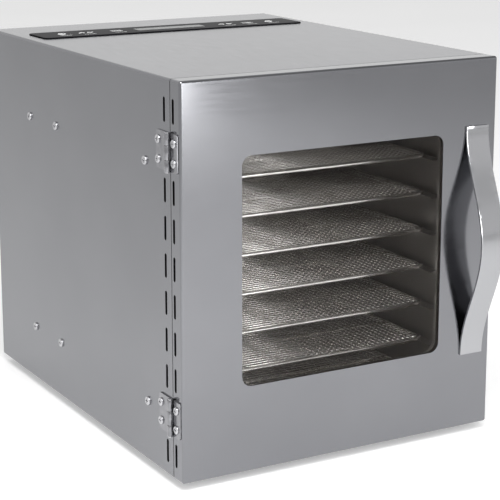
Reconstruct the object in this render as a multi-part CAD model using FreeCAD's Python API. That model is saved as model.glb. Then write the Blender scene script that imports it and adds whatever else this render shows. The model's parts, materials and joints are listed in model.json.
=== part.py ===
import FreeCAD, Part
import math
import os

# Cabinet food dehydrator. Millimetres, +X to the right, -Y to the front, +Z up.
# The origin is under the middle of the whole object's box, on the surface it stands on.

V = FreeCAD.Vector
X_AXIS = V(1, 0, 0)
Y_AXIS = V(0, 1, 0)
Z_AXIS = V(0, 0, 1)
past = 5.0  # how far a cutter runs past the sheet it cuts

# Cabinet
cabinet_width = 345.0
cabinet_height = 372.0
cabinet_depth = 450.0
sheet = 0.8
bend_radius = 2.5
door_depth = 18.0
seam_gap = 1.0
rear_lip = 14.0
rear_panel_gap = 0.2

# Feet
foot_height = 8.0
foot_radius = 11.0
foot_taper = 0.86
foot_inset = 36.0
foot_recess = 4.0
foot_recess_gap = 0.4
foot_screw_length = 9.0

# Chamber
side_gap = 28.0
floor_gap = 20.0
ceiling_gap = 30.0
liner = 0.6
front_frame_recess = 4.0
duct_from_back = 92.0
plenum_depth = 37.0
plenum_sheet = 1.2

# Air holes and flanges of the duct panel
duct_hole_radius = 3.0
duct_hole_pitch = 12.0
duct_hole_margin = 20.0
duct_side_columns = 2
duct_flange = 22.0

# Trays
tray_count = 8
first_tray_height = 37.6
top_tray_gap = 36.3
tray_front_inset = 60.0
tray_end_gap = 7.0
tray_side_gap = 4.5
tray_rod_radius = 2.0
tray_corner_radius = 15.0
tray_grid_pitch = 20.0
tray_grid_bar = 1.6
drip_tray_height = 6.0
drip_tray_gap = 4.0

# Runners
runner_width = 12.0
runner_leg = 7.0
runner_sheet = 0.7
runner_lead = 12.0
runner_end_gap = 2.0
running_gap = 0.3

# Door window, its glass and gasket
window_side_margin = 62.0
window_top_margin = 71.7
window_bottom_margin = 83.3
window_corner = 10.0
glass_thickness = 4.0
glass_cover = 8.0
gasket_lip = 0.8
gasket_wall = 2.0
gasket_reveal = 1.0
window_reveal = 6.0

# Inner door panel and its screws
door_panel_recess = 1.0
door_panel_edge = 3.0
door_screw_inset = 3.0
door_screw_end_inset = 40.0
door_screw_head = 2.4
door_screw_head_height = 0.9
nut_tab_width = 5.2
nut_tab_height = 12.0
nut_tab_depth = 5.0

# Door seal and magnet catches
seal_inset = 9.0
seal_width = 7.0
seal_gap = 0.3
catch_spread = 105.0
catch_edge_inset = 7.5
catch_width = 7.0
catch_height = 36.0
catch_depth = 14.0
catch_proud = 2.0
catch_gap = 0.1
strike_width = 5.4
strike_height = 30.0
strike_sheet = 2.5

# Handle
handle_right_inset = 10.0
handle_width = 26.0
handle_length = 230.0
handle_rise = 5.0
handle_bow = 31.6
handle_sheet = 2.0
handle_stud_inset = 9.0
handle_stud_radius = 2.5
handle_stud_length = 9.0
handle_nut_radius = 4.6
handle_nut_height = 4.0
handle_curve_steps = 16

# Hinges
hinge_top_inset = 65.3
hinge_bottom_inset = 59.7
hinge_height = 35.0
knuckle_radius = 2.8
knuckle_wall_gap = 0.4
knuckle_middle = 13.0
knuckle_gap = 0.4
leaf_knuckle_gap = 0.5
leaf_sheet = 1.5
leaf_corner = 2.0
body_leaf_reach = 25.5
leaf_front_inset = 3.0
hinge_pin_radius = 1.25
hinge_pin_clearance = 0.05
pin_head_radius = 2.2
pin_head_height = 0.8
leaf_screw_spacing = 18.0
leaf_screw_head = 4.0
leaf_screw_head_height = 1.6
leaf_screw_shank = 1.8
leaf_screw_length = 4.0
body_leaf_screw_inset = 4.2

# Slots in the sides
slot_rows = 6
slot_fill = 0.65
slot_hinge_gap = 7.4
slot_top_inset = 28.5
slot_bottom_inset = 23.5
slot_width = 4.0
slot_seam_offset = 11.3
slot_door_edge_gap = 3.0

# Screws through the side panels and their stand-offs
side_screws_from_back = (103.0, 172.0)
side_screw_from_front = 70.0
side_screw_from_top = 81.0
side_screw_from_bottom = 60.0
screw_head_radius = 4.3
screw_head_height = 2.0
screw_shank_radius = 2.0
screw_length = 12.0
screw_hole_clearance = 0.2
standoff_radius = 4.0
small_head_share = 0.8
small_shank_radius = 1.4

# Shape of a pan head, as shares of its radius and height
head_round = 0.6
cross_length = 1.1
cross_width = 0.24
cross_depth = 0.5

# Fan and motor
fan_radius = 82.0
fan_blades = 7
fan_hub_radius = 14.0
fan_hub_length = 18.0
fan_blade_chord = 26.0
fan_blade_sheet = 1.5
fan_blade_pitch = 32.0
fan_front_gap = 8.0
shaft_radius = 3.0
shaft_clearance = 0.04
motor_radius = 32.0
motor_length = 36.0
motor_edge = 3.0
motor_bore_gap = 1.5
bush_wall = 4.0
bush_length = 6.0
bush_hole_gap = 0.5
motor_screw_circle = 24.0
motor_screw_length = 8.0

# Heater and sensors
heater_fan_gap = 16.0
heater_tube_radius = 3.25
heater_hole_gap = 0.5
heater_gap_angle = 30.0
heater_tail = 14.0
clip_angles = (-90.0, 0.0, 90.0)
clip_width = 12.0
clip_sheet = 2.0
clip_lead = 1.5
sensor_side_inset = 32.5
sensor_offset = 60.0
cutout_radius = 8.5
cutout_height = 9.0
cutout_flange = (30.0, 1.0, 10.0)
probe_radius = 2.5
probe_length = 26.0
probe_collar_radius = 6.0
probe_collar_height = 2.0

# Control strip on the top, and the boards
strip_side_inset = 15.5
strip_depth = 49.0
strip_from_back = 88.0
strip_sheet = 1.2
strip_corner = 6.0
strip_rim = 6.0
strip_edge = 0.5
board_gap = 3.0
board_drop = 7.0
board_sheet = 1.6
board_corner = 2.0
board_post_radius = 4.0
board_post_inset = 27.0
board_chip = (16.0, 12.0, 3.0)
display_width = 52.0
display_depth = 22.0
power_board_size = (90.0, 34.0)
power_board_right_inset = 30.0
power_board_gap = 8.0
power_post_height = 6.0
power_post_radius = 3.0
power_post_inset = 4.0
transformer_size = (34.0, 26.0, 24.0)
relay_size = (20.0, 16.0, 16.0)
capacitor_radius = 6.0
capacitor_height = 16.0

# Rear panel
rear_screw_inset = 8.0
rear_screw_end_inset = 20.0
rear_screw_rows = 4
rear_screw_length = 6.0
rear_slot_length = 34.0
rear_slot_height = 4.0
rear_slot_pitch = 10.0
rear_slot_gap = 10.0
rear_slot_rows = 9
rear_slot_columns = 3

# Mains inlet
inlet_from_left = 60.0
inlet_height = 46.0
inlet_flange = (50.0, 24.0)
inlet_flange_sheet = 2.5
inlet_body = (28.0, 20.5)
inlet_body_corner = 2.0
inlet_body_gap = 0.2
inlet_depth = 19.0
inlet_recess = (24.0, 16.5)
inlet_recess_corner = 3.0
inlet_recess_depth = 16.0
inlet_screw_spacing = 40.0
inlet_screw_head = 2.6
inlet_screw_head_height = 1.2
inlet_screw_length = 7.0
blade_places = ((-7.0, -2.0), (7.0, -2.0), (0.0, 2.0))
blade_size = (2.0, 4.0)
blade_length = 13.0

# Everything below is worked out from the values above.
hinge_axis_proud = knuckle_radius + knuckle_wall_gap
hinge_proud = hinge_axis_proud + knuckle_radius
centre_x = (hinge_proud - screw_head_height) / 2
front_y = (handle_bow - cabinet_depth - inlet_flange_sheet) / 2
left_x = centre_x - cabinet_width / 2
right_x = centre_x + cabinet_width / 2
back_y = front_y + cabinet_depth
base_z = foot_height
top_z = base_z + cabinet_height
middle_z = (base_z + top_z) / 2

body_front_y = front_y + door_depth + seam_gap
seam_y = front_y + door_depth + seam_gap / 2
frame_y = body_front_y + front_frame_recess

chamber_left = left_x + side_gap
chamber_right = right_x - side_gap
chamber_floor_z = base_z + floor_gap
chamber_ceiling_z = top_z - ceiling_gap
duct_y = back_y - duct_from_back
plenum_back_y = duct_y + plenum_depth
plenum_front_y = plenum_back_y - plenum_sheet

tray_width = chamber_right - chamber_left - 2 * tray_side_gap
tray_front_y = front_y + tray_front_inset
tray_back_y = duct_y - tray_end_gap
tray_depth = tray_back_y - tray_front_y
tray_run = cabinet_height - ceiling_gap - top_tray_gap - first_tray_height
tray_levels = [base_z + first_tray_height + i * tray_run / (tray_count - 1) for i in range(tray_count)]

window_width = cabinet_width - 2 * window_side_margin
window_height = cabinet_height - window_top_margin - window_bottom_margin
window_z = top_z - window_top_margin - window_height / 2
glass_front_y = front_y + sheet + gasket_lip
gasket_back_y = glass_front_y + glass_thickness + gasket_lip
door_panel_back_y = front_y + door_depth - door_panel_recess
door_panel_front_y = door_panel_back_y - liner
catch_x = right_x - catch_edge_inset
catch_levels = (middle_z - catch_spread, middle_z + catch_spread)

handle_x = right_x - handle_right_inset - handle_width / 2
handle_z = middle_z + handle_rise
handle_stud_reach = handle_length / 2 - handle_stud_inset
handle_stud_levels = (handle_z - handle_stud_reach, handle_z + handle_stud_reach)

hinge_axis_x = left_x - hinge_axis_proud
hinge_levels = (base_z + hinge_bottom_inset, top_z - hinge_top_inset)
leaf_start = knuckle_radius + leaf_knuckle_gap
door_leaf_reach = door_depth + seam_gap / 2 - leaf_front_inset
door_leaf_screw_reach = (leaf_start + door_leaf_reach) / 2
body_leaf_screw_reach = body_leaf_reach - body_leaf_screw_inset

slot_run = hinge_levels[1] - hinge_levels[0] - hinge_height - 2 * slot_hinge_gap
slot_pitch = slot_run / (slot_rows - 1 + slot_fill)
slot_height = slot_pitch * slot_fill
slot_start_z = hinge_levels[0] + hinge_height / 2 + slot_hinge_gap + slot_height / 2
slot_levels = [slot_start_z + i * slot_pitch for i in range(slot_rows)]
slot_levels += [base_z + slot_bottom_inset, top_z - slot_top_inset]
door_slot_y = front_y + door_depth - slot_door_edge_gap - slot_width / 2
body_slot_y = body_front_y + slot_seam_offset

side_screw_ys = [back_y - b for b in side_screws_from_back] + [front_y + side_screw_from_front]
side_screw_places = [(y, z) for y in side_screw_ys
                     for z in (base_z + side_screw_from_bottom, top_z - side_screw_from_top)]
rear_screw_xs = (left_x + sheet + rear_screw_inset, right_x - sheet - rear_screw_inset)
rear_screw_step = (cabinet_height - 2 * rear_screw_end_inset) / (rear_screw_rows - 1)
rear_screw_places = [(x, base_z + rear_screw_end_inset + i * rear_screw_step)
                     for x in rear_screw_xs for i in range(rear_screw_rows)]
door_screw_xs = (left_x + door_panel_edge + door_screw_inset, right_x - door_panel_edge - door_screw_inset)
door_screw_places = [(x, z) for x in door_screw_xs
                     for z in (base_z + door_screw_end_inset, middle_z, top_z - door_screw_end_inset)]
foot_places = [(x, y) for x in (left_x + foot_inset, right_x - foot_inset)
               for y in (body_front_y + foot_inset, back_y - foot_inset)]

fan_z = (chamber_floor_z + chamber_ceiling_z) / 2
fan_front_y = duct_y + liner + fan_front_gap
bush_radius = shaft_radius + bush_wall
motor_back_y = plenum_back_y + motor_length
motor_screw_places = [(centre_x + motor_screw_circle * math.cos(math.radians(a)),
                       fan_z + motor_screw_circle * math.sin(math.radians(a))) for a in (45, 135, 225, 315)]
heater_ring_radius = fan_radius + heater_fan_gap
heater_y = fan_front_y + fan_hub_length / 2
heater_half_gap = math.radians(heater_gap_angle / 2)
heater_leg_xs = (centre_x - heater_ring_radius * math.sin(heater_half_gap),
                 centre_x + heater_ring_radius * math.sin(heater_half_gap))
heater_leg_z = fan_z - heater_ring_radius * math.cos(heater_half_gap)

strip_width = cabinet_width - 2 * strip_side_inset
strip_y = back_y - strip_from_back
board_top_z = top_z - board_drop
inlet_x = left_x + inlet_from_left
inlet_z = base_z + inlet_height
inlet_back_y = back_y + inlet_flange_sheet
inlet_recess_y = inlet_back_y - inlet_recess_depth
inlet_screw_xs = (inlet_x - inlet_screw_spacing / 2, inlet_x + inlet_screw_spacing / 2)


def box(x0, x1, y0, y1, z0, z1):
    """A box between two corners, whichever way round each pair is given."""
    low = V(min(x0, x1), min(y0, y1), min(z0, z1))
    return Part.makeBox(abs(x1 - x0), abs(y1 - y0), abs(z1 - z0), low)


def rod(radius, length, start, axis):
    return Part.makeCylinder(radius, length, start, axis)


def rounded(solid, axis, radius):
    """The solid with its edges that run along the axis rounded."""
    edges = [e for e in solid.Edges if abs(e.tangentAt(e.FirstParameter).dot(axis)) > 0.9]
    return solid.makeFillet(radius, edges)


def upright_plate(width, height, corner, x, z, y0, y1):
    """A plate facing the front, centred on x and z, with its four corners rounded."""
    plate = box(x - width / 2, x + width / 2, y0, y1, z - height / 2, z + height / 2)
    return rounded(plate, Y_AXIS, corner)


def flat_plate(width, depth, corner, x, y, z0, z1):
    """A plate lying flat, centred on x and y, with its four corners rounded."""
    plate = box(x - width / 2, x + width / 2, y - depth / 2, y + depth / 2, z0, z1)
    return rounded(plate, Z_AXIS, corner)


def joined(shapes):
    """One solid from pieces that overlap or meet."""
    return shapes[0].multiFuse(shapes[1:]).removeSplitter()


def save(name, solids):
    """Writes one node: every solid in the list, as one STEP file."""
    loose = [solid for shape in solids for solid in shape.Solids]
    shape = loose[0] if len(loose) == 1 else Part.makeCompound(loose)
    shape.exportStep(os.path.join("parts", name + ".step"))


def pan_screw(seat, direction, head_radius, head_height, shank_radius, shank_length):
    """A pan-head screw with a cross slot: its head sits on the seat, its shank runs along direction."""
    head = rod(head_radius, head_height, V(0, 0, 0), Z_AXIS)
    rim = [e for e in head.Edges if e.Closed and abs(e.CenterOfMass.z - head_height) < 1e-6]
    head = head.makeFillet(head_height * head_round, rim)
    long_side = head_radius * cross_length
    short_side = head_radius * cross_width
    for x, y in ((long_side, short_side), (short_side, long_side)):
        head = head.cut(box(-x / 2, x / 2, -y / 2, y / 2, head_height * cross_depth, head_height))
    screw = joined([head, rod(shank_radius, shank_length, V(0, 0, 0), V(0, 0, -1))])
    screw.Placement = FreeCAD.Placement(seat, FreeCAD.Rotation(V(0, 0, -1), direction))
    return screw


def side_slot(x, y, z):
    """A cutter for one upright slot with round ends, through the side wall at x."""
    radius = slot_width / 2
    half = slot_height / 2 - radius
    bar = box(x - past, x + past, y - radius, y + radius, z - half, z + half)
    ends = [rod(radius, 2 * past, V(x - past, y, z + reach), X_AXIS) for reach in (-half, half)]
    return joined([bar] + ends)


def across(x, radius, y, z):
    """A round cutter through the side wall at x."""
    return rod(radius, 2 * past, V(x - past, y, z), X_AXIS)


def along(y, radius, x, z):
    """A round cutter through an upright sheet at y."""
    return rod(radius, 2 * past, V(x, y - past, z), Y_AXIS)


# Cabinet panels

def casing_inside(y0, y1):
    """The space inside the four outer walls."""
    return upright_plate(cabinet_width - 2 * sheet, cabinet_height - 2 * sheet, bend_radius - sheet,
                         centre_x, middle_z, y0, y1)


def casing_tube():
    """The four outer walls as one tube with bent long edges."""
    outer = upright_plate(cabinet_width, cabinet_height, bend_radius,
                          centre_x, middle_z, body_front_y, back_y)
    return outer.cut(casing_inside(body_front_y, back_y))


def side_panel(edge, inward):
    """One side wall with its bent edges, a rear lip, a column of slots and the screw holes."""
    wall = casing_tube().common(box(edge, edge + inward * bend_radius, body_front_y, back_y, base_z, top_z))
    lip_back_y = back_y - sheet
    lip = box(edge + inward * sheet / 2, edge + inward * (sheet + rear_lip), lip_back_y - sheet, lip_back_y,
              base_z + bend_radius, top_z - bend_radius)
    panel = joined([wall, lip])
    cutters = [side_slot(edge, body_slot_y, z) for z in slot_levels]
    hole = screw_shank_radius + screw_hole_clearance
    cutters += [across(edge, hole, y, z) for y, z in side_screw_places]
    cutters += [along(lip_back_y, hole, x, z) for x, z in rear_screw_places]
    if inward > 0:
        leaf_hole = leaf_screw_shank + screw_hole_clearance
        cutters += [across(edge, leaf_hole, y, z) for y, z in leaf_screw_places(body_leaf_screw_reach)]
    return panel.cut(cutters)


def top_panel():
    """The flat top between the bends, cut out under the control strip."""
    top = box(left_x + bend_radius, right_x - bend_radius, body_front_y, back_y, top_z - sheet, top_z)
    hole = flat_plate(strip_width - 2 * strip_rim, strip_depth - 2 * strip_rim, strip_corner / 2,
                      centre_x, strip_y, top_z - past, top_z + past)
    return top.cut(hole)


def base_panel():
    base = box(left_x + bend_radius, right_x - bend_radius, body_front_y, back_y, base_z, base_z + sheet)
    hole = screw_shank_radius + screw_hole_clearance
    return base.cut([rod(hole, 2 * past, V(x, y, base_z - past), Z_AXIS) for x, y in foot_places])


def rear_slot_places():
    column_step = rear_slot_length + rear_slot_gap
    columns = [centre_x + (i - (rear_slot_columns - 1) / 2) * column_step for i in range(rear_slot_columns)]
    rows = [fan_z + (i - (rear_slot_rows - 1) / 2) * rear_slot_pitch for i in range(rear_slot_rows)]
    return [(x, z) for x in columns for z in rows]


def rear_panel():
    """The flat back with rows of air slots, the inlet's cut-out and the screw holes."""
    panel = upright_plate(cabinet_width - 2 * sheet - 2 * rear_panel_gap,
                          cabinet_height - 2 * sheet - 2 * rear_panel_gap,
                          bend_radius - sheet, centre_x, middle_z, back_y - sheet, back_y)
    cutters = [upright_plate(rear_slot_length, rear_slot_height, rear_slot_height * 0.49, x, z,
                             back_y - past, back_y + past) for x, z in rear_slot_places()]
    cutters.append(upright_plate(inlet_body[0] + 2 * inlet_body_gap, inlet_body[1] + 2 * inlet_body_gap,
                                 inlet_body_corner, inlet_x, inlet_z, back_y - past, back_y + past))
    hole = screw_shank_radius + screw_hole_clearance
    cutters += [along(back_y, hole, x, z) for x, z in rear_screw_places]
    cutters += [along(back_y, small_shank_radius + screw_hole_clearance, x, inlet_z) for x in inlet_screw_xs]
    return panel.cut(cutters)


def side_screws():
    """Pan-head screws through both side panels into the stand-offs."""
    return [pan_screw(V(x, y, z), V(inward, 0, 0), screw_head_radius, screw_head_height,
                      screw_shank_radius, screw_length)
            for y, z in side_screw_places for x, inward in ((left_x, 1), (right_x, -1))]


def rear_screws():
    return [pan_screw(V(x, back_y, z), V(0, -1, 0), screw_head_radius * small_head_share,
                      screw_head_height * small_head_share, screw_shank_radius, rear_screw_length)
            for x, z in rear_screw_places]


def wall_standoffs():
    """Tubes that hold the chamber walls off the side panels, bored for the screws."""
    length = side_gap - sheet - liner
    tubes = []
    for y, z in side_screw_places:
        for x in (left_x + sheet, chamber_right + liner):
            start = V(x, y, z)
            tubes.append(rod(standoff_radius, length, start, X_AXIS).cut(rod(screw_shank_radius, length,
                                                                             start, X_AXIS)))
    return tubes


# Chamber

def chamber_wall(inner_x, outward):
    return box(inner_x, inner_x + outward * liner, frame_y + liner, plenum_back_y,
               chamber_floor_z - liner, chamber_ceiling_z + liner)


def chamber_lid(z0):
    """A flat liner panel between the chamber walls, starting at height z0."""
    return box(chamber_left, chamber_right, frame_y + liner, plenum_back_y, z0, z0 + liner)


def catch_block(z, shrink):
    """The space of one magnet catch in the front frame's right edge."""
    half_x = catch_width / 2 - shrink
    half_z = catch_height / 2 - shrink
    return box(catch_x - half_x, catch_x + half_x, frame_y - catch_proud, frame_y + catch_depth,
               z - half_z, z + half_z)


def magnet_catches():
    return [catch_block(z, catch_gap) for z in catch_levels]


def front_frame():
    """The flat frame round the chamber's mouth, set back inside the casing."""
    frame = casing_inside(frame_y, frame_y + liner)
    mouth = box(chamber_left, chamber_right, frame_y - past, frame_y + past,
                chamber_floor_z, chamber_ceiling_z)
    return frame.cut([mouth] + [catch_block(z, 0.0) for z in catch_levels])


def runner(wall_x, inward, level):
    """An angle on the chamber wall that one tray edge slides on: the ledge, and the leg that it stands on."""
    top = level - tray_rod_radius - running_gap
    bend = top - runner_sheet
    y0 = tray_front_y - runner_lead
    y1 = duct_y - duct_flange - runner_end_gap
    ledge = box(wall_x, wall_x + inward * runner_width, y0, y1, bend, top)
    leg = box(wall_x, wall_x + inward * runner_sheet, y0, y1, top - runner_leg, bend)
    return [ledge, leg]


def duct_holes():
    """Air holes: a round field in front of the fan, and narrow fields by both walls."""
    columns = int(((chamber_right - chamber_left) / 2 - duct_hole_margin) / duct_hole_pitch)
    rows = int(((chamber_ceiling_z - chamber_floor_z) / 2 - duct_hole_margin) / duct_hole_pitch)
    fan_field = fan_radius - duct_hole_pitch / 2
    holes = []
    for i in range(-columns, columns + 1):
        for j in range(-rows, rows + 1):
            by_wall = abs(i) > columns - duct_side_columns
            if by_wall or math.hypot(i, j) * duct_hole_pitch < fan_field:
                holes.append(along(duct_y, duct_hole_radius, centre_x + i * duct_hole_pitch,
                                   fan_z + j * duct_hole_pitch))
    return holes


def duct_panel():
    """The perforated panel between the trays and the fan, with a flange forward along each wall."""
    pieces = [box(chamber_left, chamber_right, duct_y, duct_y + liner, chamber_floor_z, chamber_ceiling_z)]
    for wall_x, inward in ((chamber_left, 1), (chamber_right, -1)):
        pieces.append(box(wall_x, wall_x + inward * liner, duct_y - duct_flange, duct_y,
                          chamber_floor_z, chamber_ceiling_z))
    return joined(pieces).cut(duct_holes())


def plenum_back():
    """The plate behind the fan that carries the motor, the heater clips and the sensors."""
    plate = box(chamber_left, chamber_right, plenum_front_y, plenum_back_y,
                chamber_floor_z, chamber_ceiling_z)
    cutters = [along(plenum_back_y, bush_radius + bush_hole_gap, centre_x, fan_z)]
    hole = screw_shank_radius + screw_hole_clearance
    cutters += [along(plenum_back_y, hole, x, z) for x, z in motor_screw_places]
    cutters += [along(plenum_back_y, heater_tube_radius + heater_hole_gap, x, heater_leg_z)
                for x in heater_leg_xs]
    return plate.cut(cutters)


# Trays, modelled round the origin and then put in place

def tray_frame(half_x, half_y):
    """A round rod bent into a rectangle with rounded corners."""
    straight_x = half_x - tray_corner_radius
    straight_y = half_y - tray_corner_radius
    pieces = []
    for side in (-1, 1):
        pieces.append(rod(tray_rod_radius, 2 * straight_y, V(side * half_x, -straight_y, 0), Y_AXIS))
        pieces.append(rod(tray_rod_radius, 2 * straight_x, V(-straight_x, side * half_y, 0), X_AXIS))
    for quarter, (sx, sy) in enumerate(((1, 1), (-1, 1), (-1, -1), (1, -1))):
        corner = Part.makeTorus(tray_corner_radius, tray_rod_radius, V(0, 0, 0), Z_AXIS, 0, 360, 90)
        corner.rotate(V(0, 0, 0), Z_AXIS, quarter * 90)
        corner.translate(V(sx * straight_x, sy * straight_y, 0))
        pieces.append(corner)
    return joined(pieces)


def rectangle(x0, x1, y0, y1, z):
    return Part.makePolygon([V(x0, y0, z), V(x1, y0, z), V(x1, y1, z), V(x0, y1, z), V(x0, y0, z)])


def tray_grid(half_x, half_y):
    """A flat welded grid that fills the frame, out to the middle of its rod."""
    low = -tray_grid_bar / 2
    columns = round(2 * half_x / tray_grid_pitch)
    rows = round(2 * half_y / tray_grid_pitch)
    cell_x = 2 * half_x / columns
    cell_y = 2 * half_y / rows
    rim = tray_grid_bar / 2
    wires = [rectangle(-half_x, half_x, -half_y, half_y, low)]
    for i in range(columns):
        for j in range(rows):
            x0 = -half_x + i * cell_x
            y0 = -half_y + j * cell_y
            wires.append(rectangle(x0 + rim, x0 + cell_x - rim, y0 + rim, y0 + cell_y - rim, low))
    grid = Part.makeFace(wires, "Part::FaceMakerBullseye").extrude(V(0, 0, tray_grid_bar))
    return grid.common(flat_plate(2 * half_x, 2 * half_y, tray_corner_radius, 0, 0, low, -low))


def tray():
    half_x = tray_width / 2 - tray_rod_radius
    half_y = tray_depth / 2 - tray_rod_radius
    return joined([tray_frame(half_x, half_y), tray_grid(half_x, half_y)])


drip_left = chamber_left + drip_tray_gap
drip_right = chamber_right - drip_tray_gap
drip_floor_z = chamber_floor_z + running_gap
drip_rim_z = drip_floor_z + drip_tray_height


def drip_tray_floor():
    return box(drip_left, drip_right, tray_front_y, tray_back_y, drip_floor_z, drip_floor_z + liner)


def drip_tray_rim():
    """The four upright edges of the drip tray, on its floor."""
    z0 = drip_floor_z + liner
    sides = [box(x, x + inward * liner, tray_front_y, tray_back_y, z0, drip_rim_z)
             for x, inward in ((drip_left, 1), (drip_right, -1))]
    ends = [box(drip_left + liner, drip_right - liner, y, y + inward * liner, z0, drip_rim_z)
            for y, inward in ((tray_front_y, 1), (tray_back_y, -1))]
    return sides + ends


# Door

def door_pan(grow, depth):
    """A pan shape with rounded front and side edges, its outer faces moved outwards by grow."""
    y0 = front_y - grow
    shape = box(left_x - grow, right_x + grow, y0, y0 + depth, base_z - grow, top_z + grow)
    edges = [e for e in shape.Edges
             if abs(e.tangentAt(e.FirstParameter).y) > 0.9 or abs(e.CenterOfMass.y - y0) < 0.01]
    return shape.makeFillet(bend_radius + grow, edges)


def door_skin():
    """The outer pan of the door: a bent face with flanges, the window, side slots and stud holes."""
    cutters = [door_pan(-sheet, door_depth + past)]
    cutters.append(upright_plate(window_width, window_height, window_corner, centre_x, window_z,
                                 front_y - past, front_y + past))
    cutters += [side_slot(x, door_slot_y, z) for x in (left_x, right_x) for z in slot_levels]
    leaf_hole = leaf_screw_shank + screw_hole_clearance
    cutters += [across(left_x, leaf_hole, y, z) for y, z in leaf_screw_places(-door_leaf_screw_reach)]
    stud_hole = handle_stud_radius + screw_hole_clearance
    cutters += [along(front_y, stud_hole, handle_x, z) for z in handle_stud_levels]
    return door_pan(0.0, door_depth).cut(cutters)


def window_plate(grow, y0, y1):
    """A plate the shape of the window's opening, its edges moved outwards by grow."""
    return upright_plate(window_width + 2 * grow, window_height + 2 * grow, window_corner + grow,
                         centre_x, window_z, y0, y1)


def door_glass():
    return window_plate(glass_cover, glass_front_y, glass_front_y + glass_thickness)


def glass_gasket():
    """A soft channel round the glass edge, between the skin and the inner panel's rim."""
    ring = window_plate(glass_cover + gasket_wall, front_y + sheet, gasket_back_y)
    return ring.cut([window_plate(gasket_reveal, front_y, gasket_back_y + past), door_glass()])


def door_inner_panel():
    """The inner face of the door, with a rim folded forward to press the glass home."""
    panel = box(left_x + door_panel_edge, right_x - door_panel_edge, door_panel_front_y, door_panel_back_y,
                base_z + door_panel_edge, top_z - door_panel_edge)
    rim = window_plate(window_reveal + liner, gasket_back_y, door_panel_back_y)
    cutters = [window_plate(window_reveal, gasket_back_y, door_panel_back_y + past)]
    hole = small_shank_radius + screw_hole_clearance
    cutters += [along(door_panel_back_y, hole, x, z) for x, z in door_screw_places]
    return joined([panel, rim]).cut(cutters)


def door_nut_tabs():
    """Small nut blocks behind the inner panel that its screws bite into."""
    y0 = door_panel_front_y - nut_tab_depth
    tabs = []
    for x, z in door_screw_places:
        tab = box(x - nut_tab_width / 2, x + nut_tab_width / 2, y0, door_panel_front_y,
                  z - nut_tab_height / 2, z + nut_tab_height / 2)
        tabs.append(tab.cut(along(y0, small_shank_radius, x, z)))
    return tabs


def door_screws():
    return [pan_screw(V(x, door_panel_back_y, z), V(0, -1, 0), door_screw_head, door_screw_head_height,
                      small_shank_radius, liner + nut_tab_depth) for x, z in door_screw_places]


def door_seal():
    """Four straight lengths of soft strip on the inner panel that close on the front frame."""
    inset = door_panel_edge + seal_inset
    y0 = door_panel_back_y
    y1 = frame_y - seal_gap
    low_z = base_z + inset
    high_z = top_z - inset
    low_x = left_x + inset
    high_x = right_x - inset
    uprights = [box(x, x + inward * seal_width, y0, y1, low_z, high_z)
                for x, inward in ((low_x, 1), (high_x, -1))]
    levels = [box(low_x + seal_width, high_x - seal_width, y0, y1, z, z + inward * seal_width)
              for z, inward in ((low_z, 1), (high_z, -1))]
    return uprights + levels


def strike_plates():
    """Steel plates on the inner panel that meet the magnet catches."""
    y0 = door_panel_back_y
    return [box(catch_x - strike_width / 2, catch_x + strike_width / 2, y0, y0 + strike_sheet,
                z - strike_height / 2, z + strike_height / 2) for z in catch_levels]


# Handle

def handle_curve(offset):
    """The bowed strap's line at an offset inwards from its outer face: one smooth wave."""
    half = handle_length / 2
    rise = handle_bow - handle_sheet
    points = []
    for i in range(handle_curve_steps + 1):
        s = -half + handle_length * i / handle_curve_steps
        out = handle_sheet + rise * (1 + math.cos(math.pi * s / half)) / 2
        slope = -rise * math.pi / half * math.sin(math.pi * s / half) / 2
        length = math.hypot(1, slope)
        points.append(V(0, -(out - offset / length), s + offset * slope / length))
    curve = Part.BSplineCurve()
    curve.interpolate(points)
    return curve.toShape(), points


def handle_strap():
    """A flat strap bowed away from the door, with a stud near each end through the skin."""
    outer, outer_points = handle_curve(0.0)
    inner, inner_points = handle_curve(handle_sheet)
    ends = [Part.makeLine(outer_points[k], inner_points[k]) for k in (0, -1)]
    outline = Part.Wire(Part.sortEdges([outer, inner] + ends)[0])
    strap = Part.Face(outline).extrude(V(handle_width, 0, 0))
    strap.translate(V(handle_x - handle_width / 2, front_y, handle_z))
    root_y = front_y - handle_sheet / 2
    studs = [rod(handle_stud_radius, handle_stud_length, V(handle_x, root_y, z), Y_AXIS)
             for z in handle_stud_levels]
    return joined([strap] + studs)


def handle_nuts():
    """Hexagon nuts on the handle's studs, inside the door."""
    nuts = []
    y0 = front_y + sheet
    for z in handle_stud_levels:
        corners = [V(handle_x + handle_nut_radius * math.cos(math.radians(60 * k)), y0,
                     z + handle_nut_radius * math.sin(math.radians(60 * k))) for k in range(7)]
        nut = Part.Face(Part.makePolygon(corners)).extrude(V(0, handle_nut_height, 0))
        nuts.append(nut.cut(along(y0, handle_stud_radius, handle_x, z)))
    return nuts


# Hinges

def leaf_screw_places(reach):
    """Y and Z of one kind of leaf's screws; reach is measured from the hinge's axis."""
    return [(seam_y + reach, level + side * leaf_screw_spacing / 2)
            for level in hinge_levels for side in (-1, 1)]


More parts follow.
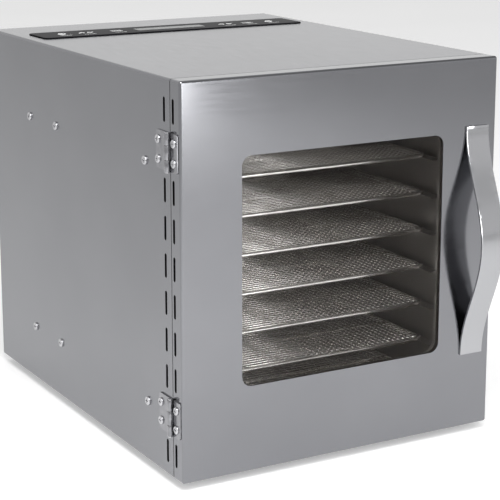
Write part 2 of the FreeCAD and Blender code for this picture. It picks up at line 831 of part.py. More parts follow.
def leaf(level, reach, screw_reach, spans, bore):
    """One hinge leaf: a plate on the side wall, reaching from the axis, and knuckles over the spans."""
    toward = 1 if reach > 0 else -1
    outer_x = left_x - leaf_sheet
    half = hinge_height / 2
    plate = box(outer_x, left_x, seam_y + toward * leaf_start, seam_y + reach, level - half, level + half)
    corners = [e for e in plate.Edges if abs(e.tangentAt(e.FirstParameter).x) > 0.9
               and abs(e.CenterOfMass.y - seam_y - reach) < 0.1]
    pieces = [plate.makeFillet(leaf_corner, corners)]
    bores = []
    for low, high in spans:
        axis_low = V(hinge_axis_x, seam_y, level + low)
        pieces.append(box(outer_x, left_x, seam_y, seam_y + toward * leaf_start, level + low, level + high))
        pieces.append(rod(knuckle_radius, high - low, axis_low, Z_AXIS))
        bores.append(rod(bore, high - low, axis_low, Z_AXIS))
    holes = [across(left_x, leaf_screw_shank, seam_y + screw_reach, level + side * leaf_screw_spacing / 2)
             for side in (-1, 1)]
    return joined(pieces).cut(bores + holes)


def hinge_body_leaves():
    half = hinge_height / 2
    inner = knuckle_middle / 2 + knuckle_gap
    return [leaf(level, body_leaf_reach, body_leaf_screw_reach, ((-half, -inner), (inner, half)),
                 hinge_pin_radius) for level in hinge_levels]


def hinge_door_leaves():
    half = knuckle_middle / 2
    return [leaf(level, -door_leaf_reach, -door_leaf_screw_reach, ((-half, half),),
                 hinge_pin_radius + hinge_pin_clearance) for level in hinge_levels]


def hinge_pins():
    """Headed pins, held by the body leaves."""
    pins = []
    for level in hinge_levels:
        low = V(hinge_axis_x, seam_y, level - hinge_height / 2)
        high = V(hinge_axis_x, seam_y, level + hinge_height / 2)
        pins.append(joined([rod(hinge_pin_radius, hinge_height, low, Z_AXIS),
                            rod(pin_head_radius, pin_head_height, low, V(0, 0, -1)),
                            rod(pin_head_radius, pin_head_height, high, Z_AXIS)]))
    return pins


def leaf_screws(reach):
    """Screws through one kind of leaf and the sheet behind it."""
    return [pan_screw(V(left_x - leaf_sheet, y, z), X_AXIS, leaf_screw_head, leaf_screw_head_height,
                      leaf_screw_shank, leaf_screw_length) for y, z in leaf_screw_places(reach)]


# Fan, motor and heater

def fan_impeller():
    """Flat pitched blades on a hub, trimmed to a round edge."""
    origin = V(0, 0, 0)
    pieces = [rod(fan_hub_radius, fan_hub_length, origin, Y_AXIS)]
    for k in range(fan_blades):
        blade = box(0, fan_radius + past, -fan_blade_sheet / 2, fan_blade_sheet / 2,
                    -fan_blade_chord / 2, fan_blade_chord / 2)
        blade.rotate(origin, X_AXIS, fan_blade_pitch)
        blade.translate(V(0, fan_hub_length / 2, 0))
        blade.rotate(origin, Y_AXIS, k * 360.0 / fan_blades)
        pieces.append(blade)
    wheel = joined(pieces).common(rod(fan_radius, fan_hub_length, origin, Y_AXIS))
    wheel = wheel.cut(rod(shaft_radius, fan_hub_length, origin, Y_AXIS))
    wheel.translate(V(centre_x, fan_front_y, fan_z))
    return wheel


def motor_shaft():
    return rod(shaft_radius, motor_back_y - fan_front_y, V(centre_x, fan_front_y, fan_z), Y_AXIS)


def bush_starts():
    return [V(centre_x, y, fan_z) for y in (plenum_back_y, motor_back_y - bush_length)]


def motor_bushes():
    """Plain bearings at the two ends of the motor."""
    bore = shaft_radius + shaft_clearance
    return [rod(bush_radius, bush_length, start, Y_AXIS).cut(rod(bore, bush_length, start, Y_AXIS))
            for start in bush_starts()]


def fan_motor():
    """The motor can, with seats for its bushes and a wide bore between them."""
    start = V(centre_x, plenum_back_y, fan_z)
    can = rod(motor_radius, motor_length, start, Y_AXIS)
    rims = [e for e in can.Edges if e.Closed and abs(e.CenterOfMass.y - motor_back_y) < 0.1]
    cutters = [rod(shaft_radius + motor_bore_gap, motor_length, start, Y_AXIS)]
    cutters += [rod(bush_radius, bush_length, seat, Y_AXIS) for seat in bush_starts()]
    cutters += [rod(screw_shank_radius, motor_screw_length, V(x, plenum_back_y, z), Y_AXIS)
                for x, z in motor_screw_places]
    return can.makeFillet(motor_edge, rims).cut(cutters)


def motor_screws():
    """Screws from the fan side through the plate into the motor."""
    return [pan_screw(V(x, plenum_front_y, z), Y_AXIS, screw_head_radius * small_head_share,
                      screw_head_height * small_head_share, screw_shank_radius, motor_screw_length)
            for x, z in motor_screw_places]


def heater_ring():
    """A tube bent round the fan, open at the bottom, with both ends turned back through the plate."""
    tangent = V(-math.cos(heater_half_gap), 0, math.sin(heater_half_gap))
    section = Part.makeCircle(heater_tube_radius, V(heater_leg_xs[0], heater_y, heater_leg_z), tangent)
    pieces = [Part.Face(Part.Wire(section)).revolve(V(centre_x, heater_y, fan_z), Y_AXIS,
                                                    360 - heater_gap_angle)]
    for x in heater_leg_xs:
        elbow = V(x, heater_y, heater_leg_z)
        pieces.append(Part.makeSphere(heater_tube_radius, elbow))
        pieces.append(rod(heater_tube_radius, plenum_back_y + heater_tail - heater_y, elbow, Y_AXIS))
    return joined(pieces)


def heater_clips():
    """Strips that hold the ring off the plenum back, each cut to the tube."""
    tube = Part.makeTorus(heater_ring_radius, heater_tube_radius, V(centre_x, heater_y, fan_z), Y_AXIS)
    clips = []
    for angle in clip_angles:
        clip = box(-clip_sheet / 2, clip_sheet / 2, heater_y - heater_tube_radius - clip_lead, plenum_front_y,
                   heater_ring_radius - clip_width / 2, heater_ring_radius + clip_width / 2)
        clip.rotate(V(0, 0, 0), Y_AXIS, angle)
        clip.translate(V(centre_x, 0, fan_z))
        clips.append(clip.cut(tube))
    return clips


def thermal_cutout():
    """A disc thermostat with its flange on the plenum back."""
    x = chamber_right - sensor_side_inset
    z = fan_z - sensor_offset
    width, thick, height = cutout_flange
    disc = rod(cutout_radius, cutout_height, V(x, plenum_front_y - cutout_height, z), Y_AXIS)
    flange = box(x - width / 2, x + width / 2, plenum_front_y - thick, plenum_front_y,
                 z - height / 2, z + height / 2)
    return joined([disc, flange])


def temperature_probe():
    """A thin probe that reaches from the plenum back towards the duct panel."""
    x = chamber_left + sensor_side_inset
    z = fan_z + sensor_offset
    return joined([rod(probe_radius, probe_length, V(x, plenum_front_y - probe_length, z), Y_AXIS),
                   rod(probe_collar_radius, probe_collar_height,
                       V(x, plenum_front_y - probe_collar_height, z), Y_AXIS)])


# Controls and electrics

def control_strip():
    strip = flat_plate(strip_width, strip_depth, strip_corner, centre_x, strip_y, top_z, top_z + strip_sheet)
    rim = [e for e in strip.Edges if abs(e.CenterOfMass.z - top_z - strip_sheet) < 0.01]
    return strip.makeFillet(strip_edge, rim)


def control_board():
    """The board under the strip, with posts up to it and two chips below."""
    width = strip_width - 2 * (strip_rim + board_gap)
    depth = strip_depth - 2 * (strip_rim + board_gap)
    low_z = board_top_z - board_sheet
    pieces = [flat_plate(width, depth, board_corner, centre_x, strip_y, low_z, board_top_z)]
    post_reach = width / 2 - board_post_inset
    for x in (-post_reach, -post_reach / 2, post_reach / 2, post_reach):
        pieces.append(rod(board_post_radius, board_drop, V(centre_x + x, strip_y, board_top_z), Z_AXIS))
    chip_x, chip_y, chip_z = board_chip
    for x in (centre_x - post_reach / 2, centre_x + post_reach / 2):
        pieces.append(box(x - chip_x / 2, x + chip_x / 2, strip_y - chip_y / 2, strip_y + chip_y / 2,
                          low_z - chip_z, low_z))
    return joined(pieces)


def display_module():
    return box(centre_x - display_width / 2, centre_x + display_width / 2,
               strip_y - display_depth / 2, strip_y + display_depth / 2, board_top_z, top_z)


def power_board():
    """The supply board on the base, with its transformer, relay and capacitor."""
    width, depth = power_board_size
    x1 = right_x - power_board_right_inset
    x0 = x1 - width
    y0 = plenum_back_y + power_board_gap
    middle_y = y0 + depth / 2
    z0 = base_z + sheet + power_post_height
    z1 = z0 + board_sheet
    pieces = [box(x0, x1, y0, y0 + depth, z0, z1)]
    block_x = x0 + 2 * power_post_inset + power_post_radius
    for size_x, size_y, size_z in (transformer_size, relay_size):
        pieces.append(box(block_x, block_x + size_x, middle_y - size_y / 2, middle_y + size_y / 2,
                          z1, z1 + size_z))
        block_x += size_x + power_post_inset
    capacitor_foot = V(block_x + capacitor_radius, middle_y, z1)
    pieces.append(rod(capacitor_radius, capacitor_height, capacitor_foot, Z_AXIS))
    for x in (x0 + power_post_inset, x1 - power_post_inset):
        for y in (y0 + power_post_inset, y0 + depth - power_post_inset):
            pieces.append(rod(power_post_radius, power_post_height, V(x, y, base_z + sheet), Z_AXIS))
    return joined(pieces)


def mains_inlet():
    """A flanged appliance inlet with a recess for the plug and its three blades."""
    body = upright_plate(inlet_body[0], inlet_body[1], inlet_body_corner, inlet_x, inlet_z,
                         back_y - inlet_depth, back_y)
    flange = upright_plate(inlet_flange[0], inlet_flange[1], 2 * inlet_body_corner, inlet_x, inlet_z,
                           back_y, inlet_back_y)
    cutters = [upright_plate(inlet_recess[0], inlet_recess[1], inlet_recess_corner, inlet_x, inlet_z,
                             inlet_recess_y, inlet_back_y + past)]
    cutters += [along(inlet_back_y, small_shank_radius, x, inlet_z) for x in inlet_screw_xs]
    pieces = [joined([body, flange]).cut(cutters)]
    width, height = blade_size
    for dx, dz in blade_places:
        x = inlet_x + dx
        z = inlet_z + dz
        pieces.append(box(x - width / 2, x + width / 2, inlet_recess_y - 1, inlet_recess_y + blade_length,
                          z - height / 2, z + height / 2))
    return joined(pieces)


def inlet_screws():
    return [pan_screw(V(x, inlet_back_y, inlet_z), V(0, -1, 0), inlet_screw_head, inlet_screw_head_height,
                      small_shank_radius, inlet_screw_length) for x in inlet_screw_xs]


# Feet

def feet():
    """Tapered pads, each recessed from below for its screw."""
    pads = []
    for x, y in foot_places:
        low = V(x, y, 0)
        pad = Part.makeCone(foot_radius * foot_taper, foot_radius, foot_height, low, Z_AXIS)
        pads.append(pad.cut([rod(screw_head_radius + foot_recess_gap, foot_recess, low, Z_AXIS),
                             rod(screw_shank_radius, foot_height, low, Z_AXIS)]))
    return pads


def foot_screws():
    return [pan_screw(V(x, y, foot_recess), Z_AXIS, screw_head_radius, screw_head_height,
                      screw_shank_radius, foot_screw_length) for x, y in foot_places]


os.makedirs("parts", exist_ok=True)

save("left_side_panel", [side_panel(left_x, 1)])
save("right_side_panel", [side_panel(right_x, -1)])
save("top_panel", [top_panel()])
save("base_panel", [base_panel()])
save("rear_panel", [rear_panel()])
save("side_screws", side_screws())
save("rear_screws", rear_screws())
save("wall_standoffs", wall_standoffs())
save("feet", feet())
save("foot_screws", foot_screws())

save("chamber_left_wall", [chamber_wall(chamber_left, -1)])
save("chamber_right_wall", [chamber_wall(chamber_right, 1)])
save("chamber_ceiling", [chamber_lid(chamber_ceiling_z)])
save("chamber_floor", [chamber_lid(chamber_floor_z - liner)])
save("front_frame", [front_frame()])
save("magnet_catches", magnet_catches())
save("duct_panel", [duct_panel()])
save("plenum_back", [plenum_back()])
save("left_runners", [leg for level in tray_levels for leg in runner(chamber_left, 1, level)])
save("right_runners", [leg for level in tray_levels for leg in runner(chamber_right, -1, level)])

one_tray = tray()
for number, level in enumerate(tray_levels, start=1):
    placed = one_tray.copy()
    placed.translate(V(centre_x, (tray_front_y + tray_back_y) / 2, level))
    save("tray_" + str(number), [placed])
save("drip_tray_floor", [drip_tray_floor()])
save("drip_tray_rim", drip_tray_rim())

save("door_skin", [door_skin()])
save("door_inner_panel", [door_inner_panel()])
save("door_nut_tabs", door_nut_tabs())
save("door_screws", door_screws())
save("door_glass", [door_glass()])
save("glass_gasket", [glass_gasket()])
save("door_seal", door_seal())
save("strike_plates", strike_plates())
save("handle_strap", [handle_strap()])
save("handle_nuts", handle_nuts())

save("hinge_body_leaves", hinge_body_leaves())
save("hinge_door_leaves", hinge_door_leaves())
save("hinge_pins", hinge_pins())
save("hinge_body_screws", leaf_screws(body_leaf_screw_reach))
save("hinge_door_screws", leaf_screws(-door_leaf_screw_reach))

save("fan_impeller", [fan_impeller()])
save("motor_shaft", [motor_shaft()])
save("motor_bushes", motor_bushes())
save("fan_motor", [fan_motor()])
save("motor_screws", motor_screws())
save("heater_ring", [heater_ring()])
save("heater_clips", heater_clips())
save("thermal_cutout", [thermal_cutout()])
save("temperature_probe", [temperature_probe()])

save("control_strip", [control_strip()])
save("control_board", [control_board()])
save("display_module", [display_module()])
save("power_board", [power_board()])
save("mains_inlet", [mains_inlet()])
save("inlet_screws", inlet_screws())
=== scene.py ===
import json
import math

import bmesh
import bpy
from mathutils import Euler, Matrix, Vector

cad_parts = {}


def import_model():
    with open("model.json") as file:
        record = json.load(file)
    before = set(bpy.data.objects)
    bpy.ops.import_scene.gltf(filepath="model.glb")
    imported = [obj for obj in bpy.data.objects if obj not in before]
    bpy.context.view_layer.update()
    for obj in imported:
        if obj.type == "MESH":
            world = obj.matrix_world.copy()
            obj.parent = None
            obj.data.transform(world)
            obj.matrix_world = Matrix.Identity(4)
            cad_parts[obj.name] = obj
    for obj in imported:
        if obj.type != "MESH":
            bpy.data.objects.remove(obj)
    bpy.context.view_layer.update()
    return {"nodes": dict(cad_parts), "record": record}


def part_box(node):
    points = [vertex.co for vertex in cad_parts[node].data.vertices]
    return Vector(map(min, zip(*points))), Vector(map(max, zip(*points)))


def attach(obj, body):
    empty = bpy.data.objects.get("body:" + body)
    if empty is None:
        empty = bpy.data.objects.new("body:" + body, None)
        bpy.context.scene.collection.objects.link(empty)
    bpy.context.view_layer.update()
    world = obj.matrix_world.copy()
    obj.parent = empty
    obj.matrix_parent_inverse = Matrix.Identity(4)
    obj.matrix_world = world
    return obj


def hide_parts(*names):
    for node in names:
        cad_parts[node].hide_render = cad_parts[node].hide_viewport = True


# Cabinet food dehydrator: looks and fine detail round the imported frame. Metres, +X right, -Y front, +Z up.

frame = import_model()
nodes = frame["nodes"]
record = frame["record"]

# Camera
camera_place = (-0.8075, -1.46245, 0.586)
camera_yaw = 29.46
camera_pitch = 12.84
camera_lens = 117.85
camera_shift = -0.08

# Studio
floor_size = 60.0
horizon_light = 0.95
zenith_light = 0.42
horizon_height = 0.3
floor_glow = 0.3
overhead_strength = 0.45
overhead_size = (3.0, 3.0)
front_card_strength = 9.5
front_card_size = (0.5, 0.66)
floor_fill_strength = 8.0
floor_fill_size = (0.7, 0.7)
window_key_strength = 9.0
window_key_size = (0.5, 0.5)
overhead_place = (-0.2, 0.9, 2.2)
overhead_target = (0, 0, 0.3)
front_card_place = (0.56, -2.2, 0.34)
front_card_target = (0, -0.2, 0.3)
window_key_place = (-0.35, -1.8, 1.25)
window_key_target = (0, -0.1, 0.2)
floor_fill_place = (-0.3, -0.75, 1.1)
floor_fill_target = (-0.15, -0.35, 0)

# Noise: the part of its range that is used, and the grain of brushed steel
noise_low = 0.3
noise_high = 0.7
ramp_low = 0.32
ramp_high = 0.68
brush_stretch = 0.02
brush_scale = 1400.0
cloud_scale = 7.0

# Softened edges
weld_distance = 0.000005
edge_width = 0.0003
edge_segments = 2
edge_angle = 50

# Wire trays
rod_radius = 0.002
rod_corner = 0.015
wire_radius = 0.00055
wire_pitch = 0.0062
brace_radius = 0.0012
brace_count = 3
brace_sides = 8
lower_wire_drop = 0.9
brace_drop = 1.8
rod_sides = 12
wire_sides = 6
corner_steps = 8

# Marks on the control strip
mark_lift = 0.00003
mark_height = 0.00012
mark_depth = 0.0056
mark_stroke = 0.001
display_size = (0.082, 0.016)
display_corner = 0.002
mark_sides = 6
ring_steps = 20
ring_share = 0.7
arrow_share = 0.6
bar_pitch_share = 0.6
bar_share = 2.2
underline_drop_share = 2.2
underline_share = 2.4
underline_stroke_share = 0.8
mark_groups = (-0.128, -0.1, -0.064, 0.07, 0.098, 0.126)


# Materials

def material(name, **values):
    """A new node material; values are set on the Principled shader's own sockets."""
    made = bpy.data.materials.new(name)
    made.use_nodes = True
    shader = made.node_tree.nodes["Principled BSDF"]
    for key, value in values.items():
        shader.inputs[key.replace("_", " ")].default_value = value
    return made, made.node_tree, shader


def noise(tree, stretch, scale, detail=4.0, roughness=0.55):
    """Noise in the object's own coordinates, with each axis stretched; returns its factor socket."""
    place = tree.nodes.new("ShaderNodeTexCoord")
    mapping = tree.nodes.new("ShaderNodeMapping")
    mapping.inputs["Scale"].default_value = stretch
    texture = tree.nodes.new("ShaderNodeTexNoise")
    texture.inputs["Scale"].default_value = scale
    texture.inputs["Detail"].default_value = detail
    texture.inputs["Roughness"].default_value = roughness
    tree.links.new(place.outputs["Object"], mapping.inputs["Vector"])
    tree.links.new(mapping.outputs["Vector"], texture.inputs["Vector"])
    return texture.outputs["Fac"]


def spread(tree, socket, low, high):
    """The socket's middle range mapped to low..high."""
    ranged = tree.nodes.new("ShaderNodeMapRange")
    ranged.inputs["From Min"].default_value = noise_low
    ranged.inputs["From Max"].default_value = noise_high
    ranged.inputs["To Min"].default_value = low
    ranged.inputs["To Max"].default_value = high
    tree.links.new(socket, ranged.inputs["Value"])
    return ranged.outputs["Result"]


def tint(tree, socket, dark, light):
    """The socket mapped to a colour between dark and light."""
    ramp = tree.nodes.new("ShaderNodeValToRGB")
    ramp.color_ramp.elements[0].position = ramp_low
    ramp.color_ramp.elements[0].color = (*dark, 1.0)
    ramp.color_ramp.elements[1].position = ramp_high
    ramp.color_ramp.elements[1].color = (*light, 1.0)
    tree.links.new(socket, ramp.inputs["Fac"])
    return ramp.outputs["Color"]


def bump(tree, shader, socket, distance, strength):
    """Raises the surface by the socket, up to a distance in metres."""
    node = tree.nodes.new("ShaderNodeBump")
    node.inputs["Distance"].default_value = distance
    node.inputs["Strength"].default_value = strength
    tree.links.new(socket, node.inputs["Height"])
    tree.links.new(node.outputs["Normal"], shader.inputs["Normal"])


def brushed_steel(name, grain, dark, light, rough, depth=0.000004):
    """Steel brushed along one axis: fine long scratches over slow cloudy wear."""
    made, tree, shader = material(name, Metallic=1.0)
    stretch = [1.0, 1.0, 1.0]
    stretch["XYZ".index(grain)] = brush_stretch
    lines = noise(tree, stretch, brush_scale, detail=3.0)
    clouds = noise(tree, (1.0, 1.0, 1.0), cloud_scale, detail=5.0)
    tree.links.new(tint(tree, clouds, dark, light), shader.inputs["Base Color"])
    tree.links.new(spread(tree, lines, *rough), shader.inputs["Roughness"])
    bump(tree, shader, lines, depth, 0.06)
    return made


def plain_metal(name, dark, light, rough, scale=90.0, depth=0.00001):
    """Plated or rolled metal: a fine mottle in its colour and its polish."""
    made, tree, shader = material(name, Metallic=1.0)
    mottle = noise(tree, (1.0, 1.0, 1.0), scale)
    tree.links.new(tint(tree, mottle, dark, light), shader.inputs["Base Color"])
    tree.links.new(spread(tree, mottle, *rough), shader.inputs["Roughness"])
    bump(tree, shader, noise(tree, (1.0, 1.0, 1.0), scale * 8), depth, 0.25)
    return made


def moulded(name, dark, light, rough, scale=500.0, depth=0.00004, **values):
    """Plastic, rubber or paint with a fine surface grain."""
    made, tree, shader = material(name, **values)
    grain = noise(tree, (1.0, 1.0, 1.0), scale)
    tree.links.new(tint(tree, noise(tree, (1.0, 1.0, 1.0), scale / 12), dark, light),
                   shader.inputs["Base Color"])
    tree.links.new(spread(tree, grain, *rough), shader.inputs["Roughness"])
    bump(tree, shader, grain, depth, 0.3)
    return made


def window_glass():
    """Smoked glass: mostly seen through, with a clean gloss and faint smears."""
    made, tree, shader = material("window_glass", Alpha=0.1, IOR=1.5)
    smears = noise(tree, (1.0, 1.0, 0.5), 14.0)
    tree.links.new(tint(tree, smears, (0.012, 0.009, 0.007), (0.02, 0.016, 0.013)),
                   shader.inputs["Base Color"])
    tree.links.new(spread(tree, smears, 0.02, 0.06), shader.inputs["Roughness"])
    return made


finishes = {
    "casing_steel": brushed_steel("casing_steel", "Y", (0.208, 0.21, 0.222), (0.226, 0.228, 0.24),
                                  (0.2, 0.25)),
    "door_steel": brushed_steel("door_steel", "X", (0.205, 0.207, 0.219), (0.222, 0.224, 0.236),
                                (0.11, 0.16)),
    "liner_steel": brushed_steel("liner_steel", "Z", (0.33, 0.312, 0.298), (0.4, 0.382, 0.366), (0.3, 0.42)),
    # Handle steel: brighter than the door steel, partly for its higher polish and partly as painted
    # highlight standing in for the light the strap catches.
    "handle_steel": brushed_steel("handle_steel", "X", (0.38, 0.382, 0.395), (0.41, 0.412, 0.425),
                                  (0.12, 0.2)),
    "tray_wire": plain_metal("tray_wire", (0.76, 0.74, 0.71), (0.88, 0.86, 0.83), (0.14, 0.26)),
    "fastener_steel": plain_metal("fastener_steel", (0.44, 0.44, 0.455), (0.56, 0.56, 0.575),
                                  (0.14, 0.26), 220.0),
    "hinge_steel": plain_metal("hinge_steel", (0.22, 0.22, 0.232), (0.29, 0.29, 0.302), (0.12, 0.22), 160.0),
    "window_glass": window_glass(),
    "strip_gloss": moulded("strip_gloss", (0.004, 0.004, 0.005), (0.008, 0.008, 0.01), (0.05, 0.1),
                           depth=0.000004, Specular_IOR_Level=0.001),
    "display_dark": moulded("display_dark", (0.01, 0.013, 0.013), (0.02, 0.025, 0.025), (0.15, 0.25)),
    "board_green": moulded("board_green", (0.015, 0.09, 0.04), (0.03, 0.15, 0.06), (0.3, 0.45), 300.0),
    "black_plastic": moulded("black_plastic", (0.014, 0.014, 0.015), (0.026, 0.026, 0.027), (0.4, 0.55)),
    "grey_rubber": moulded("grey_rubber", (0.028, 0.022, 0.019), (0.045, 0.037, 0.032), (0.55, 0.7)),
    "foot_rubber": moulded("foot_rubber", (0.012, 0.012, 0.012), (0.022, 0.022, 0.022), (0.6, 0.78)),
    "fan_aluminium": plain_metal("fan_aluminium", (0.58, 0.58, 0.6), (0.7, 0.7, 0.72), (0.28, 0.4)),
    "motor_paint": moulded("motor_paint", (0.06, 0.06, 0.066), (0.09, 0.09, 0.096),
                           (0.35, 0.5), Metallic=0.3),
    "bush_brass": plain_metal("bush_brass", (0.6, 0.4, 0.17), (0.74, 0.52, 0.26), (0.2, 0.32)),
    "heater_tube": plain_metal("heater_tube", (0.12, 0.11, 0.105), (0.2, 0.18, 0.165), (0.4, 0.6)),
    "sensor_metal": plain_metal("sensor_metal", (0.5, 0.5, 0.5), (0.62, 0.62, 0.62), (0.25, 0.38)),
}


def paint(piece, finish):
    """Gives the piece one finish in place of any it had."""
    piece.data.materials.clear()
    piece.data.materials.append(finish)


def soften(node):
    """Bevels a pressed or sheet node's sharp edges a little."""
    weld = nodes[node].modifiers.new("weld", "WELD")
    weld.merge_threshold = weld_distance
    edge = nodes[node].modifiers.new("edge", "BEVEL")
    edge.width = edge_width
    edge.segments = edge_segments
    edge.limit_method = "ANGLE"
    edge.angle_limit = math.radians(edge_angle)
    edge.harden_normals = True


for subpart in record["subparts"]:
    paint(nodes[subpart["node"]], finishes[subpart["material_slot"]])


# Wire trays

def new_piece(name, mesh, body, slot):
    """An object from a bmesh that rides on a body and takes its finish from a slot of the record."""
    data = bpy.data.meshes.new(name)
    mesh.to_mesh(data)
    mesh.free()
    for face in data.polygons:
        face.use_smooth = True
    piece = bpy.data.objects.new(name, data)
    bpy.context.scene.collection.objects.link(piece)
    paint(piece, finishes[slot])
    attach(piece, body)
    return piece


def tube(mesh, path, radius, sides, closed):
    """A round tube along a flat path; closed joins its ends, and otherwise both ends are capped."""
    rings = []
    for i, point in enumerate(path):
        before = path[i - 1] if i or closed else point
        after = path[(i + 1) % len(path)] if closed or i + 1 < len(path) else point
        across = (after - before).cross(Vector((0, 0, 1))).normalized()
        ring = []
        for k in range(sides):
            turn = 2 * math.pi * k / sides
            offset = across * math.cos(turn) + Vector((0, 0, 1)) * math.sin(turn)
            ring.append(mesh.verts.new(point + offset * radius))
        rings.append(ring)
    for i in range(len(rings) if closed else len(rings) - 1):
        low, high = rings[i], rings[(i + 1) % len(rings)]
        for k in range(sides):
            mesh.faces.new((low[k], low[(k + 1) % sides], high[(k + 1) % sides], high[k]))
    if not closed:
        mesh.faces.new(rings[0][::-1])
        mesh.faces.new(rings[-1])


def rim_path(half_x, half_y, corner):
    """A rectangle with rounded corners, as points in order."""
    path = []
    for quarter, (sx, sy) in enumerate(((1, 1), (-1, 1), (-1, -1), (1, -1))):
        middle = Vector((sx * (half_x - corner), sy * (half_y - corner), 0))
        for step in range(corner_steps + 1):
            turn = math.pi / 2 * (quarter + step / corner_steps)
            path.append(middle + Vector((math.cos(turn), math.sin(turn), 0)) * corner)
    return path


def wire_row(mesh, half_along, half_across, z, along_x):
    """Evenly pitched fine wires, each ended at the middle of the frame's rod."""
    count = round(2 * half_across / wire_pitch)
    for i in range(1, count):
        place = -half_across + 2 * half_across * i / count
        into_corner = max(0.0, abs(place) - (half_across - rod_corner))
        reach = half_along - rod_corner + math.sqrt(rod_corner ** 2 - into_corner ** 2)
        ends = ((-reach, place), (reach, place)) if along_x else ((place, -reach), (place, reach))
        tube(mesh, [Vector((*end, z)) for end in ends], wire_radius, wire_sides, False)


def tray_mesh(half_x, half_y):
    """A rod frame, two layers of welded wire and the braces under them, about the tray's middle."""
    mesh = bmesh.new()
    tube(mesh, rim_path(half_x, half_y, rod_corner), rod_radius, rod_sides, True)
    wire_row(mesh, half_x, half_y, wire_radius, True)
    wire_row(mesh, half_y, half_x, -wire_radius * lower_wire_drop, False)
    for i in range(brace_count):
        y = half_y * (2 * (i + 1) / (brace_count + 1) - 1)
        z = -wire_radius * brace_drop - brace_radius
        tube(mesh, [Vector((-half_x, y, z)), Vector((half_x, y, z))], brace_radius, brace_sides, False)
    bmesh.ops.recalc_face_normals(mesh, faces=mesh.faces)
    return mesh


trays = [name for name in nodes if name.startswith("tray_")]
for name in sorted(trays):
    low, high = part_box(name)
    middle = (low + high) / 2
    wires = tray_mesh((high.x - low.x) / 2 - rod_radius, (high.y - low.y) / 2 - rod_radius)
    bmesh.ops.translate(wires, verts=wires.verts, vec=middle)
    piece = new_piece("wire_" + name, wires, name, "tray_wire")
    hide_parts(name)


# Control strip

def slab(mesh, x, y, z, width, depth, height):
    """A small raised block on the strip, centred on x and y, standing on z."""
    made = bmesh.ops.create_cube(mesh, size=1.0)
    bmesh.ops.scale(mesh, vec=(width, depth, height), verts=made["verts"])
    bmesh.ops.translate(mesh, vec=(x, y, z + height / 2), verts=made["verts"])


def ring_mark(mesh, x, y, z, radius):
    """A thin raised ring."""
    path = [Vector((x + radius * math.cos(t), y + radius * math.sin(t), z))
            for t in [2 * math.pi * k / ring_steps for k in range(ring_steps)]]
    tube(mesh, path, mark_stroke / 2, mark_sides, True)


def chevron(mesh, x, y, z, size, up):
    """A plain arrow head that points to the back or to the front."""
    path = [Vector((x - size, y - up * size / 2, z)), Vector((x, y + up * size / 2, z)),
            Vector((x + size, y - up * size / 2, z))]
    tube(mesh, path, mark_stroke / 2, mark_sides, False)


def strip_marks():
    """Plain key marks on the strip: a ring with a tick, arrows, or bars, each over a short line."""
    low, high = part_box("control_strip")
    x0 = (low.x + high.x) / 2
    y = (low.y + high.y) / 2
    z = high.z + mark_lift
    mesh = bmesh.new()
    for number, offset in enumerate(mark_groups):
        x = x0 + offset
        if number in (0, 5):
            ring_mark(mesh, x, y, z, mark_depth * ring_share)
            slab(mesh, x, y + mark_depth * ring_share, z, mark_stroke, mark_depth * ring_share, mark_height)
        elif number in (1, 3):
            chevron(mesh, x - mark_depth, y, z, mark_depth * arrow_share, 1)
            chevron(mesh, x + mark_depth, y, z, mark_depth * arrow_share, -1)
        else:
            for k in range(3):
                slab(mesh, x, y + (k - 1) * mark_depth * bar_pitch_share, z,
                     mark_depth * bar_share, mark_stroke, mark_height)
        slab(mesh, x, y - mark_depth * underline_drop_share, z,
             mark_depth * underline_share, mark_stroke * underline_stroke_share, mark_height)
    bmesh.ops.recalc_face_normals(mesh, faces=mesh.faces)
    return mesh


def strip_display():
    """A slightly proud rounded window over the display."""
    low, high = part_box("control_strip")
    middle = (low + high) / 2
    mesh = bmesh.new()
    outline = rim_path(display_size[0] / 2, display_size[1] / 2, display_corner)
    bottom = [mesh.verts.new((middle.x + p.x, middle.y + p.y, high.z)) for p in outline]
    face = mesh.faces.new(bottom)
    raised = bmesh.ops.extrude_face_region(mesh, geom=[face])
    lifted = [v for v in raised["geom"] if isinstance(v, bmesh.types.BMVert)]
    bmesh.ops.translate(mesh, vec=(0, 0, mark_height), verts=lifted)
    bmesh.ops.recalc_face_normals(mesh, faces=mesh.faces)
    return mesh


finishes["mark_print"] = moulded("mark_print", (0.72, 0.72, 0.72), (0.82, 0.82, 0.82), (0.4, 0.5))
finishes["display_window"] = moulded("display_window", (0.2, 0.205, 0.205), (0.26, 0.265, 0.265), (0.2, 0.3),
                                     depth=0.000004, Specular_IOR_Level=0.02)
marks = new_piece("strip_marks", strip_marks(), "cabinet", "strip_gloss")
paint(marks, finishes["mark_print"])
window = new_piece("strip_display", strip_display(), "cabinet", "display_dark")
paint(window, finishes["display_window"])
for piece in (marks, window):
    for face in piece.data.polygons:
        face.use_smooth = False

for node in ("handle_strap", "hinge_body_leaves", "hinge_door_leaves"):
    soften(node)


# Studio

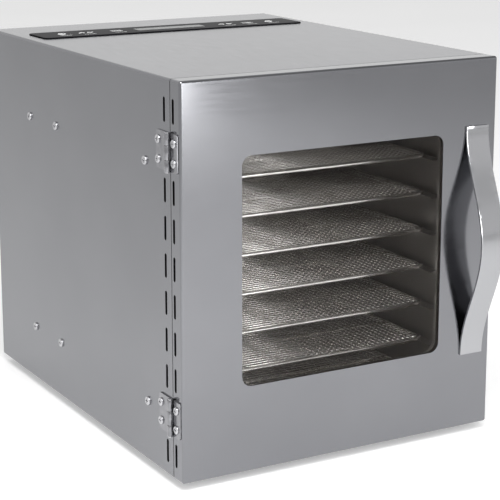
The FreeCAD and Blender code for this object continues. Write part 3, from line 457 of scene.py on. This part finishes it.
def studio_floor():
    """A plain pale floor, not part of the object."""
    mesh = bmesh.new()
    bmesh.ops.create_grid(mesh, x_segments=1, y_segments=1, size=floor_size / 2)
    data = bpy.data.meshes.new("floor")
    mesh.to_mesh(data)
    mesh.free()
    floor = bpy.data.objects.new("floor", data)
    bpy.context.scene.collection.objects.link(floor)
    made, tree, shader = material("floor_paper", Roughness=0.9, Specular_IOR_Level=0.1)
    shader.inputs["Emission Color"].default_value = (1.0, 1.0, 1.0, 1.0)
    shader.inputs["Emission Strength"].default_value = floor_glow
    tree.links.new(tint(tree, noise(tree, (1, 1, 1), 3.0), (0.84, 0.84, 0.84), (0.86, 0.86, 0.86)),
                   shader.inputs["Base Color"])
    paint(floor, made)


def card(name, size, strength, place, target):
    """A soft rectangular light that the camera doesn't see; strength is its radiance."""
    data = bpy.data.lights.new(name, "AREA")
    data.shape = "RECTANGLE"
    data.size, data.size_y = size
    data.energy = strength * math.pi * size[0] * size[1]
    light = bpy.data.objects.new(name, data)
    light.location = place
    light.rotation_euler = (Vector(target) - Vector(place)).to_track_quat("-Z", "Y").to_euler()
    light.visible_camera = False
    bpy.context.scene.collection.objects.link(light)


def world():
    """A plain pale surround, brighter round the horizon than overhead."""
    made = bpy.data.worlds.new("studio")
    made.use_nodes = True
    tree = made.node_tree
    place = tree.nodes.new("ShaderNodeTexCoord")
    split = tree.nodes.new("ShaderNodeSeparateXYZ")
    ranged = tree.nodes.new("ShaderNodeMapRange")
    ranged.inputs["From Min"].default_value = horizon_height
    ranged.inputs["From Max"].default_value = 2 * horizon_height
    ranged.inputs["To Min"].default_value = horizon_light
    ranged.inputs["To Max"].default_value = zenith_light
    tree.links.new(place.outputs["Generated"], split.inputs["Vector"])
    tree.links.new(split.outputs["Z"], ranged.inputs["Value"])
    tree.nodes["Background"].inputs["Color"].default_value = (1.0, 1.0, 1.0, 1.0)
    tree.links.new(ranged.outputs["Result"], tree.nodes["Background"].inputs["Strength"])
    bpy.context.scene.world = made


def camera():
    """The camera at the viewing angle, level across its width."""
    data = bpy.data.cameras.new("camera")
    data.lens = camera_lens
    data.shift_y = camera_shift
    view = bpy.data.objects.new("camera", data)
    view.location = camera_place
    view.rotation_euler = Euler((math.radians(90 - camera_pitch), 0, math.radians(-camera_yaw)))
    bpy.context.scene.collection.objects.link(view)
    bpy.context.scene.camera = view


camera()
studio_floor()
world()
card("overhead", overhead_size, overhead_strength, overhead_place, overhead_target)
card("front_card", front_card_size, front_card_strength, front_card_place, front_card_target)
card("window_key", window_key_size, window_key_strength, window_key_place, window_key_target)
card("floor_fill", floor_fill_size, floor_fill_strength, floor_fill_place, floor_fill_target)
bpy.context.scene.view_settings.view_transform = "Standard"
